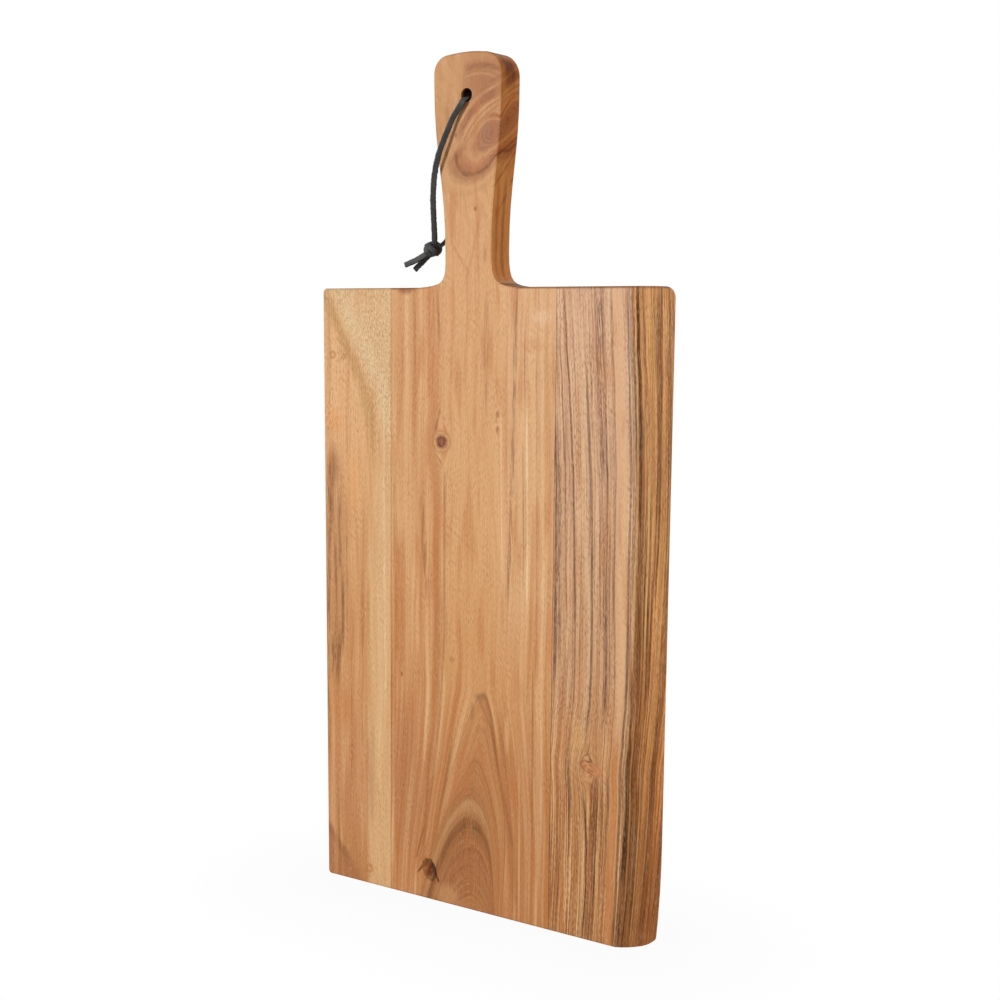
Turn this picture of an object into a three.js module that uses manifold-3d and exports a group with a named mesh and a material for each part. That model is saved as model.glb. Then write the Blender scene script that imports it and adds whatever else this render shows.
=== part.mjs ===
// A hanging serving board: three wooden staves glued edge to edge, the middle one running on into
// the handle, and a leather lace that passes through the handle's hole and is knotted into a loop.
// Millimetres, +Z up along the handle, front face towards -Y, origin in the middle of the bottom end.
import * as THREE from "three";
import { mergeVertices } from "three/addons/utils/BufferGeometryUtils.js";
import Module from "manifold-3d";

// Board
const BOARD_LENGTH = 500;
const BODY_LENGTH = 368.5;
const BOARD_WIDTH = 234;
const THICKNESS = 18.5;
const EDGE_EASE = 1;
const EASE_SEGMENTS = 2;
const LEFT_X = -BOARD_WIDTH / 2;
const RIGHT_X = BOARD_WIDTH / 2;
const FRONT_Y = -THICKNESS / 2;
const LEFT_CORNER_R = 2.5;
const RIGHT_TOP_CORNER_R = 6;
const RIGHT_BOTTOM_CORNER_X = 111.8;
const RIGHT_BOTTOM_CORNER_R = 7;
const RIGHT_FLARE_Z = 40;
const CURVE_SEGMENTS = 8;

// Handle, whose neck and head each have a middle line of their own
const HANDLE_X = -7.9;
const NECK_HALF_WIDTH = 16.4;
const NECK_ABOVE_SHOULDER = 21;
const HEAD_X = -8.4;
const HEAD_HALF_WIDTH = 23.7;
const HEAD_BELOW_TOP = 18;
const HEAD_LEFT_CORNER_R = 10;
const HEAD_RIGHT_CORNER_R = 13;
const HEAD_CROWN = 0.8;
const SIDE_CURVE_PULL = 38;
const FILLET_REACH = 35;
const LEFT_FILLET_RISE = 14.5;
const RIGHT_FILLET_RISE = 20;
const FILLET_KNEE_REACH = 3;
const FILLET_KNEE_LOW = 1.2;
const FILLET_KNEE_HIGH = 2.5;

// Hole for the lace
const HOLE_X = -8.9;
const HOLE_Z = 476;
const HOLE_R = 3.9;
const HOLE_SEGMENTS = 32;

// Glued joints between the staves, which lean a little to the left on the way down
const LEFT_JOINT = { topX: -63.9, bottomX: -66.2 };
const RIGHT_JOINT = { topX: 52.7, bottomX: 49.6 };
const GLUE_THICKNESS = 0.2;
const GLUE_CLEARANCE = 0.03;
const GLUE_RECESS = 0.4;

// Natural edge on the right, which slopes out from the front face to the back
const LIVE_FRONT_WIDEST_X = 105.4;
const LIVE_FRONT_WIDEST_Z = 285;
const LIVE_FRONT_DRAW_IN_BELOW = 8.6;
const LIVE_FRONT_BEND_BELOW = 1.5;
const LIVE_FRONT_DRAW_IN_ABOVE = 1.4;
const LIVE_BACK_TOP_X = 118;
const LIVE_BACK_BOTTOM_X = 114;
const LIVE_BACK_DRAW_IN = 2.6;
const LIVE_FOOT_Z = 55;
const LIVE_FRONT_R = 1.6;
const LIVE_FRONT_EXTRA_R = 6;
const LIVE_ROUNDING_Z = 120;
const LIVE_BACK_R = 2;
const LIVE_STEPS_ACROSS = 12;
const LIVE_STEPS_UP = 24;

// Lace
const LACE_ACROSS = 3.2;
const LACE_SIDES = 8;
const LACE_STEP = 6;
const KNOT_CENTRE = [-39.5, 0, 390.6];
const KNOT_AXIS = [-0.92, 0, -0.39];
const KNOT_HALF_LENGTH = 6.2;
const KNOT_HALF_WIDTH = 3.9;
const KNOT_WRAP_R = 2.9;
const KNOT_STRAND_R = 1.7;
const KNOT_WRAP_TILT = 0.9;

// Routes of the lace, from the hole outwards
const BIGHT_ROUTE = [
  [-10.9, -11.3, 470.9],
  [-9.9, -11.4, 473.3],
  [-9.2, -10.1, 474.6],
  [-8.9, -7.5, 474.7],
  [-8.9, 0, 474.6],
  [-8.9, 7.5, 474.7],
  [-9.1, 10.1, 474.6],
  [-9.6, 11.5, 473.3],
  [-10.3, 11.4, 470.9],
];
const FRONT_ROUTE = [
  [-11.3, -11.3, 470.4],
  [-13.5, -11.6, 467.9],
  [-17.0, -11.9, 462.7],
  [-19.9, -12.2, 456.9],
  [-23.4, -12.6, 449.6],
  [-26.6, -12.5, 442.3],
  [-29.6, -11.6, 433.6],
  [-32.0, -9.8, 423.9],
  [-33.6, -7.9, 416.4],
  [-35.4, -4.7, 405.2],
  [-36.9, -2.2, 396.6],
  [-37.4, -1.6, 395.0],
];
const BACK_ROUTE = [
  [-10.5, 11.4, 470.3],
  [-12.0, 11.8, 465.5],
  [-14.2, 12.3, 457.5],
  [-16.6, 12.7, 448.5],
  [-19.2, 13.0, 438.5],
  [-22.1, 13.1, 428.5],
  [-25.3, 12.8, 418.5],
  [-28.5, 11.9, 409.8],
  [-31.4, 10.2, 402.4],
  [-33.4, 8.6, 398.6],
  [-34.9, 6.6, 396.0],
  [-35.7, 4.8, 394.4],
  [-36.4, 3.9, 393.5],
];
const LONG_TAIL_ROUTE = [
  [-45.2, -1.5, 387.6],
  [-51.7, -1.3, 384.8],
  [-59.4, -1.3, 382.1],
];
const SHORT_TAIL_ROUTE = [
  [-45.0, 2.1, 387.0],
  [-50.8, 2.7, 383.2],
  [-55.6, 3.1, 379.7],
];

const oiledSapwood = new THREE.MeshStandardMaterial({ color: 0xcc9b6e, roughness: 0.55, metalness: 0 });
const oiledHeartwood = new THREE.MeshStandardMaterial({ color: 0xc89267, roughness: 0.55, metalness: 0 });
const oiledStripedWood = new THREE.MeshStandardMaterial({ color: 0xbf906c, roughness: 0.55, metalness: 0 });
const driedGlue = new THREE.MeshStandardMaterial({ color: 0x6b4526, roughness: 0.6, metalness: 0 });
const blackLeather = new THREE.MeshStandardMaterial({ color: 0x3a3835, roughness: 0.8, metalness: 0 });

const wasm = await Module();
wasm.setup();

// A closed geometry as a solid that can be joined and cut.
function solidOf(geometry) {
  const bare = geometry.clone();
  bare.deleteAttribute("normal");
  bare.deleteAttribute("uv");
  const merged = mergeVertices(bare, 1e-4);
  return new wasm.Manifold(
    new wasm.Mesh({
      numProp: 3,
      vertProperties: merged.attributes.position.array,
      triVerts: new Uint32Array(merged.index.array),
    }),
  );
}

function geometryOf(solid) {
  const mesh = solid.getMesh();
  const geometry = new THREE.BufferGeometry();
  geometry.setAttribute("position", new THREE.BufferAttribute(mesh.vertProperties, 3));
  geometry.setIndex(new THREE.BufferAttribute(mesh.triVerts, 1));
  geometry.computeVertexNormals();
  return geometry;
}

// Shapes are drawn in X and Z, and stand up into the board's plane with their depth centred on Y.
function standUp(shape, depth, options) {
  const geometry = new THREE.ExtrudeGeometry(shape, { depth, bevelEnabled: false, ...options });
  geometry.translate(0, 0, -depth / 2);
  return geometry.rotateX(Math.PI / 2);
}

// The board's outline with its handle, before the right edge is shaped.
function boardOutline() {
  const outline = new THREE.Shape();
  const neckZ = BODY_LENGTH + NECK_ABOVE_SHOULDER;
  const headZ = BOARD_LENGTH - HEAD_BELOW_TOP;
  const crownZ = BOARD_LENGTH - HEAD_CROWN;
  const headRightX = HEAD_X + HEAD_HALF_WIDTH;
  const headLeftX = HEAD_X - HEAD_HALF_WIDTH;
  const neckRightX = HANDLE_X + NECK_HALF_WIDTH;
  const neckLeftX = HANDLE_X - NECK_HALF_WIDTH;
  const rightTopZ = BODY_LENGTH - RIGHT_TOP_CORNER_R;
  const rightBottomX = RIGHT_BOTTOM_CORNER_X - RIGHT_BOTTOM_CORNER_R;
  const quarter = Math.PI / 2;
  outline.moveTo(LEFT_X + LEFT_CORNER_R, 0);
  outline.lineTo(rightBottomX, 0);
  outline.absarc(rightBottomX, RIGHT_BOTTOM_CORNER_R, RIGHT_BOTTOM_CORNER_R, -quarter, 0);
  outline.lineTo(RIGHT_X, RIGHT_FLARE_Z);
  outline.lineTo(RIGHT_X, rightTopZ);
  outline.absarc(RIGHT_X - RIGHT_TOP_CORNER_R, rightTopZ, RIGHT_TOP_CORNER_R, 0, quarter);
  outline.lineTo(HANDLE_X + FILLET_REACH, BODY_LENGTH);
  outline.bezierCurveTo(
    neckRightX + FILLET_KNEE_REACH, BODY_LENGTH + FILLET_KNEE_LOW,
    neckRightX, BODY_LENGTH + FILLET_KNEE_HIGH,
    neckRightX, BODY_LENGTH + RIGHT_FILLET_RISE,
  );
  outline.lineTo(neckRightX, neckZ);
  outline.bezierCurveTo(
    neckRightX, neckZ + SIDE_CURVE_PULL,
    headRightX, headZ - SIDE_CURVE_PULL,
    headRightX, headZ,
  );
  outline.absarc(
    headRightX - HEAD_RIGHT_CORNER_R, crownZ - HEAD_RIGHT_CORNER_R,
    HEAD_RIGHT_CORNER_R, 0, quarter,
  );
  outline.quadraticCurveTo(
    HEAD_X, BOARD_LENGTH + HEAD_CROWN,
    headLeftX + HEAD_LEFT_CORNER_R, crownZ,
  );
  outline.absarc(
    headLeftX + HEAD_LEFT_CORNER_R, crownZ - HEAD_LEFT_CORNER_R,
    HEAD_LEFT_CORNER_R, quarter, 2 * quarter,
  );
  outline.lineTo(headLeftX, headZ);
  outline.bezierCurveTo(
    headLeftX, headZ - SIDE_CURVE_PULL,
    neckLeftX, neckZ + SIDE_CURVE_PULL,
    neckLeftX, neckZ,
  );
  outline.lineTo(neckLeftX, BODY_LENGTH + LEFT_FILLET_RISE);
  outline.bezierCurveTo(
    neckLeftX, BODY_LENGTH + FILLET_KNEE_HIGH,
    neckLeftX - FILLET_KNEE_REACH, BODY_LENGTH + FILLET_KNEE_LOW,
    HANDLE_X - FILLET_REACH, BODY_LENGTH,
  );
  outline.lineTo(LEFT_X + LEFT_CORNER_R, BODY_LENGTH);
  outline.absarc(LEFT_X + LEFT_CORNER_R, BODY_LENGTH - LEFT_CORNER_R, LEFT_CORNER_R, quarter, 2 * quarter);
  outline.lineTo(LEFT_X, LEFT_CORNER_R);
  outline.absarc(LEFT_X + LEFT_CORNER_R, LEFT_CORNER_R, LEFT_CORNER_R, 2 * quarter, 3 * quarter);
  return outline;
}

// The whole board with its edges eased and its hole drilled, before the staves are told apart.
function boardBlank() {
  const drill = new THREE.CylinderGeometry(HOLE_R, HOLE_R, 2 * THICKNESS, HOLE_SEGMENTS);
  drill.translate(HOLE_X, 0, HOLE_Z);
  const blank = solidOf(
    standUp(boardOutline(), THICKNESS - 2 * EDGE_EASE, {
      bevelEnabled: true,
      bevelThickness: EDGE_EASE,
      bevelSize: EDGE_EASE,
      bevelOffset: -EDGE_EASE,
      bevelSegments: EASE_SEGMENTS,
      curveSegments: CURVE_SEGMENTS,
    }),
  );
  return blank.subtract(solidOf(drill));
}

function jointX(joint, z) {
  return joint.bottomX + ((joint.topX - joint.bottomX) * z) / BODY_LENGTH;
}

// A slab between two leaning lines, each given as a function from height to X.
function slabBetween(leftOf, rightOf, lowZ, highZ, depth) {
  const shape = new THREE.Shape();
  shape.moveTo(leftOf(lowZ), lowZ);
  shape.lineTo(rightOf(lowZ), lowZ);
  shape.lineTo(rightOf(highZ), highZ);
  shape.lineTo(leftOf(highZ), highZ);
  return standUp(shape, depth);
}

// How far the natural edge reaches at a height, and a share of the way from the front face to the back.
function liveEdgeX(share, z) {
  const below = Math.max(0, (LIVE_FRONT_WIDEST_Z - z) / LIVE_FRONT_WIDEST_Z);
  const above = Math.max(0, (z - LIVE_FRONT_WIDEST_Z) / (BODY_LENGTH - LIVE_FRONT_WIDEST_Z));
  const foot = Math.max(0, (LIVE_FOOT_Z - z) / LIVE_FOOT_Z);
  const rounding = Math.min(1, Math.max(0, 1 - z / LIVE_ROUNDING_Z));
  const frontX =
    LIVE_FRONT_WIDEST_X -
    LIVE_FRONT_DRAW_IN_BELOW * below ** LIVE_FRONT_BEND_BELOW -
    LIVE_FRONT_DRAW_IN_ABOVE * above ** 2;
  const backX =
    LIVE_BACK_BOTTOM_X +
    ((LIVE_BACK_TOP_X - LIVE_BACK_BOTTOM_X) * z) / BODY_LENGTH -
    LIVE_BACK_DRAW_IN * foot ** 2;
  const frontR = LIVE_FRONT_R + LIVE_FRONT_EXTRA_R * rounding ** 2;
  const fromFront = Math.min(1, (share * THICKNESS) / frontR);
  const fromBack = Math.min(1, ((1 - share) * THICKNESS) / LIVE_BACK_R);
  const frontLoss = frontR * (1 - Math.sqrt(1 - (1 - fromFront) ** 2));
  const backLoss = LIVE_BACK_R * (1 - Math.sqrt(1 - (1 - fromBack) ** 2));
  return frontX + (backX - frontX) * share - frontLoss - backLoss;
}

// The block of wood that the right stave is cut from, with its natural edge.
function liveEdgeBlock(leftOf) {
  const margin = 1;
  const block = new THREE.BoxGeometry(1, 1, 1, 1, LIVE_STEPS_ACROSS, LIVE_STEPS_UP);
  const place = block.attributes.position;
  for (let i = 0; i < place.count; i++) {
    const share = 0.5 - 0.5 * Math.cos(Math.PI * (place.getY(i) + 0.5));
    const z = (place.getZ(i) + 0.5) * (BODY_LENGTH + 2 * margin) - margin;
    const x = place.getX(i) > 0 ? liveEdgeX(share, z) : leftOf(z);
    place.setXYZ(i, x, FRONT_Y + share * THICKNESS, z);
  }
  return solidOf(block);
}

// A stretch of lace along its route.
function laceAlong(route) {
  const curve = new THREE.CatmullRomCurve3(route.map((p) => new THREE.Vector3(...p)));
  const section = new THREE.Shape();
  for (let i = 0; i < LACE_SIDES; i++) {
    const angle = ((i + 0.5) * 2 * Math.PI) / LACE_SIDES;
    const x = (Math.cos(angle) * LACE_ACROSS) / 2;
    const y = (Math.sin(angle) * LACE_ACROSS) / 2;
    if (i === 0) section.moveTo(x, y);
    else section.lineTo(x, y);
  }
  const steps = Math.max(2, Math.round(curve.getLength() / LACE_STEP));
  return new THREE.ExtrudeGeometry(section, { steps, extrudePath: curve });
}

// The overhand knot: a core of both strands, a turn round it, and a second turn that crosses the first.
function knotLump() {
  const core = new THREE.SphereGeometry(1, 20, 12);
  core.scale(KNOT_HALF_WIDTH, KNOT_HALF_WIDTH, KNOT_HALF_LENGTH);
  const turn = new THREE.TorusGeometry(KNOT_WRAP_R, KNOT_STRAND_R, 8, 24);
  const crossing = new THREE.TorusGeometry(KNOT_WRAP_R, KNOT_STRAND_R, 8, 24);
  crossing.rotateX(KNOT_WRAP_TILT);
  const lump = geometryOf(solidOf(core).add(solidOf(turn)).add(solidOf(crossing)));
  const axis = new THREE.Vector3(...KNOT_AXIS).normalize();
  const turned = new THREE.Quaternion().setFromUnitVectors(new THREE.Vector3(0, 0, 1), axis);
  lump.applyQuaternion(turned);
  return lump.translate(...KNOT_CENTRE);
}

const board = new THREE.Group();

function addPiece(name, geometry, material) {
  const mesh = new THREE.Mesh(geometry, material);
  mesh.name = name;
  board.add(mesh);
}

const blank = boardBlank();
const halfGap = GLUE_THICKNESS / 2 + GLUE_CLEARANCE;
const past = 2;
const cutDepth = THICKNESS + 2 * past;
const leftPiece = slabBetween(
  () => LEFT_X - past,
  (z) => jointX(LEFT_JOINT, z) - halfGap,
  -past,
  BODY_LENGTH + past,
  cutDepth,
);
const middlePiece = slabBetween(
  (z) => jointX(LEFT_JOINT, z) + halfGap,
  (z) => jointX(RIGHT_JOINT, z) - halfGap,
  -past,
  BOARD_LENGTH + past,
  cutDepth,
);
const rightBlock = liveEdgeBlock((z) => jointX(RIGHT_JOINT, z) + halfGap);
addPiece("left_stave", geometryOf(blank.intersect(solidOf(leftPiece))), oiledSapwood);
addPiece("centre_stave", geometryOf(blank.intersect(solidOf(middlePiece))), oiledHeartwood);
addPiece("right_stave", geometryOf(blank.intersect(rightBlock)), oiledStripedWood);

function glueLine(joint) {
  return slabBetween(
    (z) => jointX(joint, z) - GLUE_THICKNESS / 2,
    (z) => jointX(joint, z) + GLUE_THICKNESS / 2,
    GLUE_RECESS,
    BODY_LENGTH - GLUE_RECESS,
    THICKNESS - 2 * GLUE_RECESS,
  );
}
addPiece("glue_line_left", glueLine(LEFT_JOINT), driedGlue);
addPiece("glue_line_right", glueLine(RIGHT_JOINT), driedGlue);

addPiece("lace_bight", laceAlong(BIGHT_ROUTE), blackLeather);
addPiece("lace_front", laceAlong(FRONT_ROUTE), blackLeather);
addPiece("lace_back", laceAlong(BACK_ROUTE), blackLeather);
addPiece("lace_knot", knotLump(), blackLeather);
addPiece("lace_tail_long", laceAlong(LONG_TAIL_ROUTE), blackLeather);
addPiece("lace_tail_short", laceAlong(SHORT_TAIL_ROUTE), blackLeather);

export default board;
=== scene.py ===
# A hanging serving board: three oiled staves of wood glued edge to edge, the middle one running on
# into the handle, and a loop of black leather lace knotted through the handle's hole.
# Metres, +Z up along the handle, front face towards -Y. Wood figure is worked out in millimetres.
import math

import bmesh
import bpy
from mathutils import Matrix, Vector, noise
from mathutils.geometry import interpolate_bezier


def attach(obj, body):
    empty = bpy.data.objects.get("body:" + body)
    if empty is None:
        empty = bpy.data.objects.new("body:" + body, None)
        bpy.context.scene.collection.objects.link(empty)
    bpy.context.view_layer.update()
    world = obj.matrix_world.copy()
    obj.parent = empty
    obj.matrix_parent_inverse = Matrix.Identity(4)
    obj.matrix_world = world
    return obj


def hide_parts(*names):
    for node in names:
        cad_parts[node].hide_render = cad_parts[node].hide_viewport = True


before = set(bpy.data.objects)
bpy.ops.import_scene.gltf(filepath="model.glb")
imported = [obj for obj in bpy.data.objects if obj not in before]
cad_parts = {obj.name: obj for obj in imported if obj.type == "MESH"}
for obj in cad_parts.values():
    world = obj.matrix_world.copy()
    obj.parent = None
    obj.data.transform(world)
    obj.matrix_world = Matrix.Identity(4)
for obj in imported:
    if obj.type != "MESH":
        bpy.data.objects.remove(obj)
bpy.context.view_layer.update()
scene = bpy.context.scene
scene.view_settings.view_transform = "Standard"


# Camera
# The board is seen from the front, a little from its right side and from above its middle.
VIEW_FROM = (0.53279, -0.75601, 0.3534)
VIEW_YAW = math.radians(34.74)
VIEW_DOWN = math.radians(6.63)
VIEW_ROLL = math.radians(0.17)

camera_lens = bpy.data.cameras.new("camera")
camera_lens.sensor_width = 36
camera_lens.lens = 57.6
camera_lens.clip_start = 0.05
camera_lens.clip_end = 30
camera = bpy.data.objects.new("camera", camera_lens)
turned = Matrix.Rotation(VIEW_YAW, 4, "Z") @ Matrix.Rotation(math.pi / 2 - VIEW_DOWN, 4, "X")
camera.matrix_world = Matrix.Translation(VIEW_FROM) @ turned @ Matrix.Rotation(VIEW_ROLL, 4, "Z")
scene.collection.objects.link(camera)
scene.camera = camera


# Leather lace
# One strip cut from black hide, its flesh side a little fuzzy and its edges nicked by the knife.
# It runs through the hole, down both sides of the handle, and both strands are tied in one knot.
FRONT_STRAND = [
    (-8.9, 0, 474.6), (-8.9, -6, 474.6), (-9.3, -9.4, 474.2), (-10.1, -11, 472.7),
    (-11.5, -11.3, 470.4), (-13.5, -11.6, 467.6), (-17, -11.9, 462.7), (-19.9, -12.2, 456.9),
    (-23.4, -12.6, 449.6), (-26.6, -12.5, 442.3), (-29.6, -11.6, 433.6), (-32, -9.8, 423.9),
    (-33.6, -7.9, 416.4), (-35.4, -4.7, 405.2), (-36.9, -2.2, 396.6), (-37.9, -1, 392.6),
]
FRONT_FACING = [
    (0, 0, 1), (0, 0, 1), (0, -0.7, 0.7), (0.3, -0.9, 0.3), (0.6, -0.8, 0.1), (0.7, -0.7, 0),
    (0.75, -0.66, 0), (0.75, -0.66, 0), (0.75, -0.66, 0), (0.7, -0.7, 0), (0.6, -0.8, 0), (0.5, -0.87, 0),
    (0.45, -0.9, 0), (0.4, -0.92, 0), (0.4, -0.92, 0), (0.4, -0.9, 0),
]
BACK_STRAND = [
    (-8.9, 0, 474.6), (-8.9, 7.5, 474.7), (-9.1, 10.1, 474.6), (-9.6, 11.5, 473.3),
    (-10.5, 11.4, 470.3), (-12, 11.8, 465.5), (-14.2, 12.3, 457.5), (-16.6, 12.7, 448.5),
    (-19.2, 13, 438.5), (-22.1, 13.1, 428.5), (-25.3, 12.8, 418.5), (-28.5, 11.9, 409.8),
    (-31.4, 10.2, 402.4), (-33.4, 8.6, 398.6), (-34.9, 6.6, 396), (-36.2, 4.2, 393.7),
    (-37.8, 1.4, 391.8),
]
BACK_FACING = [
    (0, 0, 1), (0, 0, 1), (0, 0.7, 0.7), (0, 1, 0.2), *[(0, 1, 0)] * 6, (-0.2, 1, 0), (-0.4, 0.9, 0.2),
    (-0.5, 0.7, 0.5), (-0.4, 0.5, 0.8), *[(-0.4, 0.4, 0.8)] * 3,
]
LONG_TAIL = [(-41.5, -2.4, 388.9), (-45.2, -1.9, 387.3), (-51.7, -1.3, 384.6), (-59.4, -1.3, 382.1)]
LONG_FACING = [(0.3, -0.9, 0.2), (0.4, -0.9, 0.2), (0.4, -0.9, 0.1), (0.4, -0.9, 0)]
SHORT_TAIL = [(-41.5, -0.2, 388.4), (-45, 1.3, 386.6), (-50.8, 2.7, 382.8), (-55.6, 3.1, 379.4)]
SHORT_FACING = [(0.5, -0.8, 0.1), (0.5, -0.8, 0.1), (0.5, -0.8, 0), (0.5, -0.8, 0)]
LACE_WIDTH = 3.3
TAIL_WIDTH = 3.2
LACE_THICKNESS = 1.5
LACE_STEP = 0.5
LACE_CORNERS = 16
LACE_SQUARENESS = 0.45
LACE_ROUGHNESS = 0.34
NICKS = 0.9
FINE_NICKS = 2.3
MM = 0.001


def route_counts(points):
    """How many places each span between two points is cut into."""
    spans = [(Vector(there) - Vector(here)).length for here, there in zip(points, points[1:])]
    return [max(2, round(span / LACE_STEP) + 1) for span in spans]


def smooth_route(points, counts):
    """Places on a smooth curve through the given points."""
    ends = [points[0]] + points + [points[-1]]
    route = []
    for before, here, there, after, count in zip(ends, ends[1:], ends[2:], ends[3:], counts):
        leave = here + (there - before) / 6
        arrive = there - (after - here) / 6
        route += interpolate_bezier(here, leave, arrive, there, count)[:-1]
    return route + [points[-1]]


def strip_sections(route, facing):
    """A frame at each point of the route: across the strip, out of its flat face, and along it."""
    frames = []
    for place, point in enumerate(route):
        before = route[max(0, place - 1)]
        after = route[min(len(route) - 1, place + 1)]
        along = (after - before).normalized()
        across = along.cross(facing[place]).normalized()
        frames.append(Matrix((across, across.cross(along), along)).transposed().to_4x4())
        frames[-1].translation = point
    return frames


def cut_strip(name, route, facing, width, thickness):
    """A strip of leather that follows the route, drawn out section by section from its first end."""
    mesh = bmesh.new()
    bmesh.ops.create_circle(mesh, segments=LACE_CORNERS, radius=1)
    corners = list(mesh.verts)
    profile = []
    for corner in corners:
        bent = [math.copysign(abs(c) ** LACE_SQUARENESS, c) if abs(c) > 1e-6 else 0 for c in corner.co]
        profile.append(Vector((bent[0] * width / 2, bent[1] * thickness / 2, 0)))
    sections = strip_sections(route, facing)
    ring = corners
    edges = list(mesh.edges)
    for place, section in enumerate(sections):
        if place:
            drawn = bmesh.ops.extrude_edge_only(mesh, edges=edges)["geom"]
            ring = [g for g in drawn if isinstance(g, bmesh.types.BMVert)]
            edges = [g for g in drawn if isinstance(g, bmesh.types.BMEdge)]
        for corner, flat in zip(ring, profile):
            spot = section @ flat
            nick = noise.noise(spot * NICKS) * 0.5 + noise.noise(spot * FINE_NICKS) * 0.5
            edge_share = abs(flat.x) * 2 / width
            corner.co = section @ (flat * (1 + LACE_ROUGHNESS * nick * edge_share ** 3))
    bmesh.ops.holes_fill(mesh, edges=mesh.edges, sides=LACE_CORNERS)
    bmesh.ops.recalc_face_normals(mesh, faces=mesh.faces)
    for face in mesh.faces:
        face.smooth = len(face.verts) == 4
    bmesh.ops.scale(mesh, vec=(MM, MM, MM), verts=mesh.verts)
    data = bpy.data.meshes.new(name)
    mesh.to_mesh(data)
    mesh.free()
    piece = bpy.data.objects.new(name, data)
    scene.collection.objects.link(piece)
    return piece


def lay_strip(name, points, facing, width=LACE_WIDTH, thickness=LACE_THICKNESS):
    """A strip through some points with its flat face turned as told at each: the piece and its route."""
    counts = route_counts(points)
    route = smooth_route([Vector(point) for point in points], counts)
    looks = smooth_route([Vector(look) for look in facing], counts)
    return cut_strip(name, route, looks, width, thickness), route


lace_front, front_route = lay_strip("lace_front_strand", FRONT_STRAND, FRONT_FACING)
lace_back, back_route = lay_strip("lace_back_strand", BACK_STRAND, BACK_FACING)
long_tail, _ = lay_strip("lace_long_tail", LONG_TAIL, LONG_FACING, TAIL_WIDTH)
short_tail, _ = lay_strip("lace_short_tail", SHORT_TAIL, SHORT_FACING, TAIL_WIDTH)

# The knot: a broad band round the two tails, a curl beside it, and a crossing strand over the curl.
# Each turn has its middle, the axis that it goes round, its radius and the strip's width there.
KNOT_TURNS = [
    ((-41.6, -0.3, 390.3), (-0.85, 0.25, -0.45), 3.1, 3),
    ((-39.6, -0.6, 391.1), (-0.8, 0.4, -0.35), 3.5, 3.1),
    ((-37.6, -0.7, 391.2), (0.55, -0.8, 0.1), 3.3, 3.4),
    ((-37.9, -0.9, 391), (0.62, -0.76, 0.05), 1.7, 3.8),
]
CROSSING = [
    (-42.2, -2.6, 393.6), (-40.2, -3.9, 392.6), (-37.8, -4.3, 391.2), (-35.4, -3.2, 389.2),
    (-34.9, -1, 388.2),
]
CROSSING_FACING = [(0.2, -0.8, 0.5), (0.4, -0.9, 0.3), (0.6, -0.8, 0), (0.8, -0.5, -0.3), (0.8, 0, -0.5)]
KNOT_THICKNESS = 1.8
TURN_STEPS = 40
TURN_START = 2.4


def knot_turn(middle, axis, radius):
    """One turn of the strip about an axis: its route and the way its flat face looks."""
    axis = Vector(axis).normalized()
    side = axis.cross(Vector((0, 0, 1))).normalized()
    route = []
    looks = []
    for step in range(TURN_STEPS + 1):
        angle = 2 * math.pi * step / TURN_STEPS + TURN_START
        out = side * math.cos(angle) + axis.cross(side) * math.sin(angle)
        route.append(Vector(middle) + out * radius)
        looks.append(out)
    return route, looks


knot_pieces = []
for turn, (middle, axis, radius, width) in enumerate(KNOT_TURNS):
    turn_route, turn_looks = knot_turn(middle, axis, radius)
    knot_pieces.append(cut_strip(f"lace_knot_turn_{turn}", turn_route, turn_looks, width, KNOT_THICKNESS))
crossing, _ = lay_strip("lace_knot_crossing", CROSSING, CROSSING_FACING, TAIL_WIDTH, KNOT_THICKNESS)
knot_pieces.append(crossing)


def tone(code):
    """A colour as it is seen, written like #c89267, as the light that a shader works with."""
    seen = [int(code[place:place + 2], 16) / 255 for place in (1, 3, 5)]
    light = [((part + 0.055) / 1.055) ** 2.4 if part > 0.04045 else part / 12.92 for part in seen]
    return (*light, 1)


class Field:
    """A number that changes over a surface, held as a node's output."""

    def __init__(self, tree, socket):
        self.tree = tree
        self.socket = socket

    def __add__(self, other):
        return calc(self.tree, "ADD", self, other)

    __radd__ = __add__

    def __sub__(self, other):
        return calc(self.tree, "SUBTRACT", self, other)

    def __rsub__(self, other):
        return calc(self.tree, "SUBTRACT", other, self)

    def __mul__(self, other):
        return calc(self.tree, "MULTIPLY", self, other)

    __rmul__ = __mul__

    def __truediv__(self, other):
        return calc(self.tree, "DIVIDE", self, other)

    def __rtruediv__(self, other):
        return calc(self.tree, "DIVIDE", other, self)


def join(tree, value, socket):
    """Links a field to a socket, or writes a plain value on it."""
    if isinstance(value, Field):
        tree.links.new(value.socket, socket)
    else:
        socket.default_value = value


def calc(tree, operation, *values):
    node = tree.nodes.new("ShaderNodeMath")
    node.operation = operation
    for value, socket in zip(values, node.inputs):
        join(tree, value, socket)
    return Field(tree, node.outputs[0])


def rise(value, low, high):
    """0 at low and 1 at high, with a smooth rise between them."""
    node = value.tree.nodes.new("ShaderNodeMapRange")
    node.interpolation_type = "SMOOTHSTEP"
    join(value.tree, value, node.inputs["Value"])
    join(value.tree, low, node.inputs["From Min"])
    join(value.tree, high, node.inputs["From Max"])
    return Field(value.tree, node.outputs["Result"])


def clouds(across, depth, along, detail=1):
    """Noise of about one unit's size, from 0 to 1."""
    tree = across.tree
    stack = tree.nodes.new("ShaderNodeCombineXYZ")
    join(tree, across, stack.inputs["X"])
    join(tree, depth, stack.inputs["Y"])
    join(tree, along, stack.inputs["Z"])
    cloud = tree.nodes.new("ShaderNodeTexNoise")
    cloud.inputs["Scale"].default_value = 1
    cloud.inputs["Detail"].default_value = detail
    tree.links.new(stack.outputs["Vector"], cloud.inputs["Vector"])
    return Field(tree, cloud.outputs["Fac"])


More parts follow.
